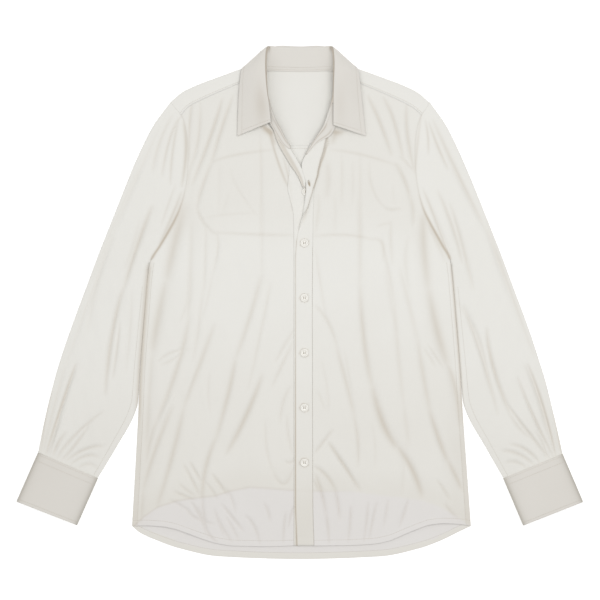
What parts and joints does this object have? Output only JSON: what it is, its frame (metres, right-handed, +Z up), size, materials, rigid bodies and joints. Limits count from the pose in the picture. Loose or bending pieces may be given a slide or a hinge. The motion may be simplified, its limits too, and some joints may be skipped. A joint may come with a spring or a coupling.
{
  "type": "blouse",
  "caption": "Ivory long-sleeved button-up blouse with pointed collar, front placket, buttoned front, cuffs and curved hem, lying flat on its back.",
  "frame": {"origin": "on the surface the blouse lies on, under the middle of its outline", "axes": "+X to the wearer's left sleeve, +Y from the hem to the collar, +Z up from the back to the front of the blouse"},
  "size_m": [0.8214, 0.7435, 0.0207],
  "materials": {
    "ivory_cloth": "soft smooth weave with a slight sheen, a little see-through",
    "doubled_cloth": "the same cloth doubled and pressed",
    "button_shell": "polished shell-like resin"
  },
  "bodies": {
    "root": {"back": "ivory_cloth", "yoke": "ivory_cloth", "front_right": "ivory_cloth", "front_left": "ivory_cloth", "button_band": "ivory_cloth", "placket": "ivory_cloth", "collar_stand": "doubled_cloth", "collar": "doubled_cloth", "sleeve_right": "ivory_cloth", "sleeve_left": "ivory_cloth", "cuff_right": "doubled_cloth", "cuff_left": "doubled_cloth", "button_1": "button_shell", "button_2": "button_shell", "button_3": "button_shell", "button_4": "button_shell", "button_5": "button_shell", "button_top": "button_shell"}
  },
  "joints": []
}
